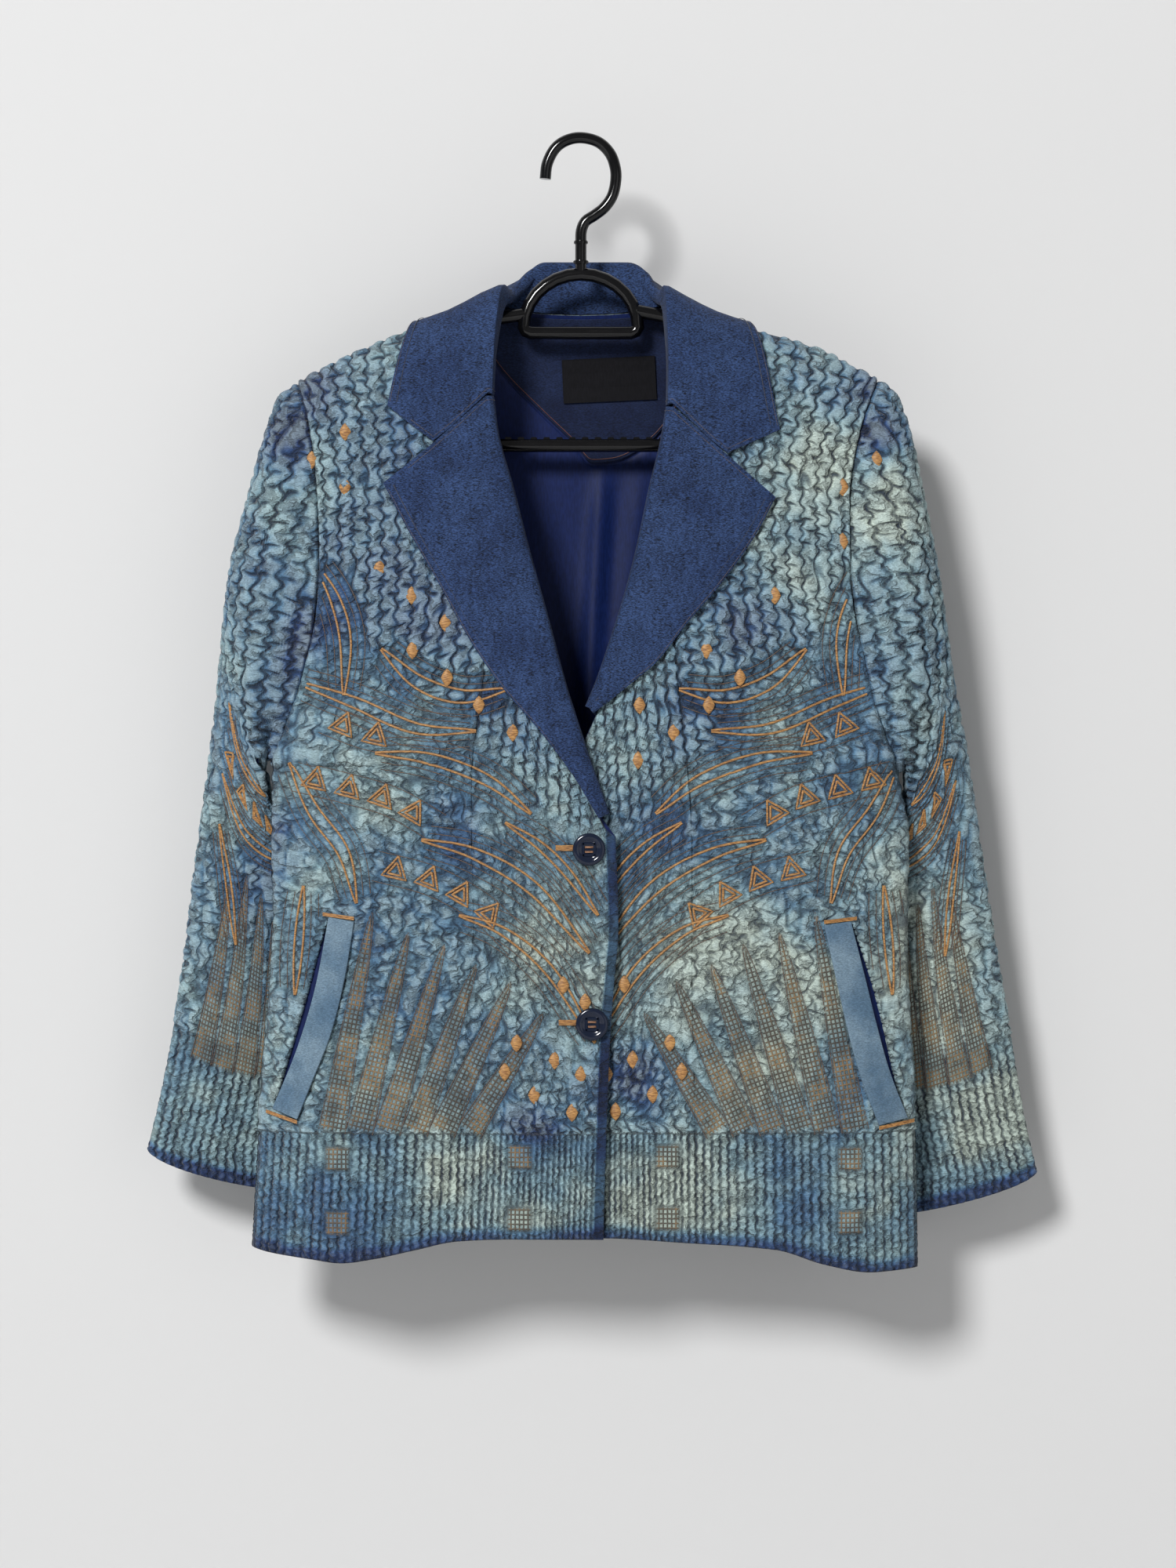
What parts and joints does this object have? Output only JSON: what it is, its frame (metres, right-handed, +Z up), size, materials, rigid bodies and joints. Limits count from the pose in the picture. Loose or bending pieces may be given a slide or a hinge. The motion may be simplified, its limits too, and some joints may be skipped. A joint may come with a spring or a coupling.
{
  "type": "denim blazer on a hanger",
  "caption": "Shirred denim blazer with notched lapels and slanted welt pockets, buttoned and hanging on a moulded plastic hanger.",
  "frame": {"origin": "inner top of the hanger's hook, where a rail or nail carries it", "axes": "+Z up along the hang, +X towards the wearer's left, +Y towards the back"},
  "size_m": [0.6278, 0.1113, 0.796],
  "materials": {
    "shirred_denim": "bleached, puckered denim",
    "plain_denim": "washed indigo denim",
    "welt_denim": "light washed denim",
    "lining_satin": "navy satin",
    "label_tape": "black woven tape",
    "button_resin": "glossy navy",
    "hanger_plastic": "glossy black"
  },
  "bodies": {
    "root": {"front_right": "shirred_denim", "front_left": "shirred_denim", "back": "shirred_denim", "sleeve_right": "shirred_denim", "sleeve_left": "shirred_denim", "collar": "plain_denim", "lapel_right": "plain_denim", "lapel_left": "plain_denim", "back_neck_facing": "plain_denim", "welt_right": "welt_denim", "welt_left": "welt_denim", "lining_back": "lining_satin", "pocket_bag_right": "lining_satin", "pocket_bag_left": "lining_satin", "label": "label_tape", "button_upper": "button_resin", "button_lower": "button_resin", "hanger": "hanger_plastic"}
  },
  "joints": []
}
